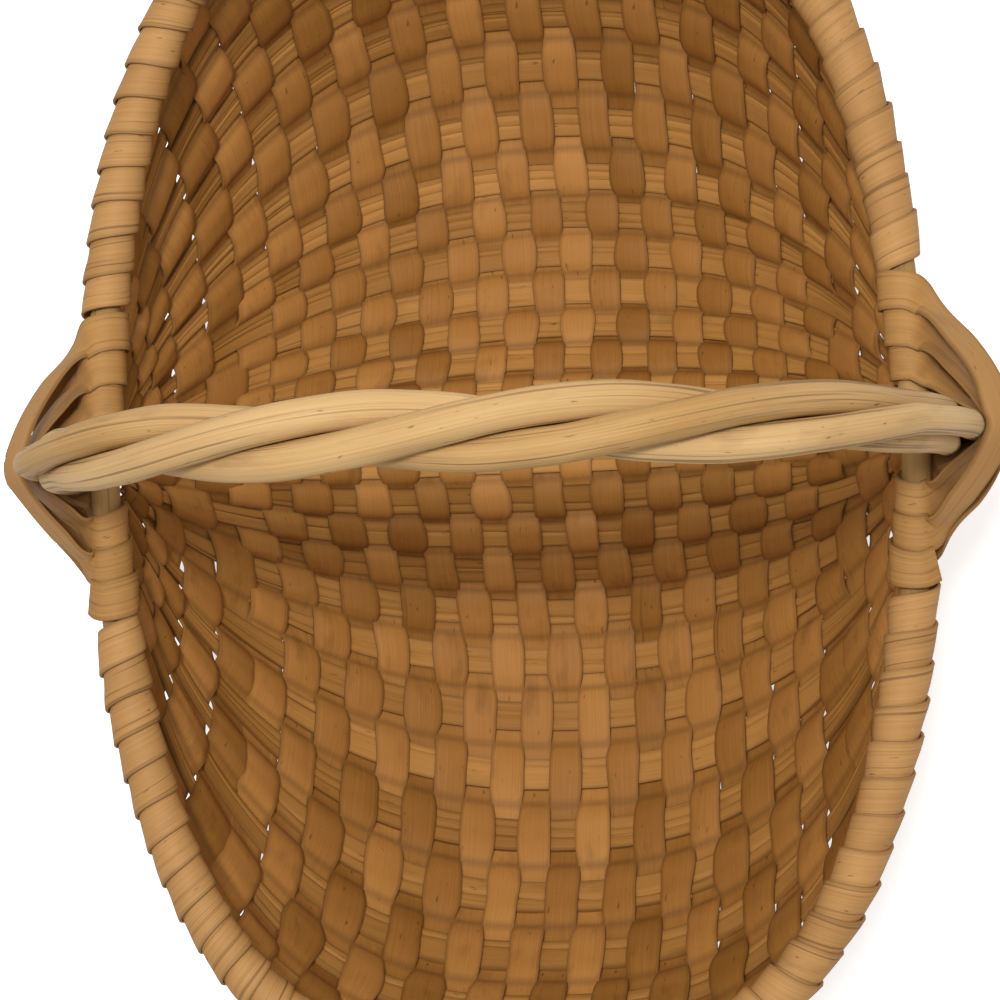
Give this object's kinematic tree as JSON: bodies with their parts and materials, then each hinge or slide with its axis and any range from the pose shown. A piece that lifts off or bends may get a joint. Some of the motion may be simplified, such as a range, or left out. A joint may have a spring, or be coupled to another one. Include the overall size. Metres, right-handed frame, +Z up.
{
  "type": "buttocks basket",
  "caption": "Two-lobed ribbed basket of woven wood splints with a bound oval rim and a fixed arched handle of twisted stems, for carrying and gathering.",
  "frame": {"origin": "on the floor, under the middle of the basket", "axes": "+X from ear to ear, +Y along the rim's longer side, +Z up"},
  "size_m": [0.2492, 0.3188, 0.2301],
  "materials": {
    "rim_rod": "bare bent rod, dull",
    "rim_binding": "golden tan splint, dull sheen",
    "handle_stem": "pale straw stem, worn smooth",
    "ear_lashing": "tan splint, dull",
    "rib": "tan split wood, dull",
    "weaver": "tan brown splint, dull"
  },
  "bodies": {
    "root": {"rim_hoop": "rim_rod", "rim_binding_far": "rim_binding", "rim_binding_near": "rim_binding", "handle_stem_1": "handle_stem", "handle_stem_2": "handle_stem", "handle_stem_3": "handle_stem", "ear_lashing_left": "ear_lashing", "ear_lashing_right": "ear_lashing", "keel_rib": "rib", "rib_far_01": "rib", "rib_far_02": "rib", "rib_far_03": "rib", "rib_far_04": "rib", "rib_far_05": "rib", "rib_far_06": "rib", "rib_far_07": "rib", "rib_far_08": "rib", "rib_far_09": "rib", "rib_far_10": "rib", "rib_far_11": "rib", "rib_far_12": "rib", "rib_near_01": "rib", "rib_near_02": "rib", "rib_near_03": "rib", "rib_near_04": "rib", "rib_near_05": "rib", "rib_near_06": "rib", "rib_near_07": "rib", "rib_near_08": "rib", "rib_near_09": "rib", "rib_near_10": "rib", "rib_near_11": "rib", "rib_near_12": "rib", "weaver_middle": "weaver", "weaver_left_01": "weaver", "weaver_left_02": "weaver", "weaver_left_03": "weaver", "weaver_left_04": "weaver", "weaver_left_05": "weaver", "weaver_left_06": "weaver", "weaver_left_07": "weaver", "weaver_left_08": "weaver", "weaver_left_09": "weaver", "weaver_left_10": "weaver", "weaver_left_11": "weaver", "weaver_left_12": "weaver", "weaver_left_13": "weaver", "weaver_right_01": "weaver", "weaver_right_02": "weaver", "weaver_right_03": "weaver", "weaver_right_04": "weaver", "weaver_right_05": "weaver", "weaver_right_06": "weaver", "weaver_right_07": "weaver", "weaver_right_08": "weaver", "weaver_right_09": "weaver", "weaver_right_10": "weaver", "weaver_right_11": "weaver", "weaver_right_12": "weaver", "weaver_right_13": "weaver"}
  },
  "joints": []
}
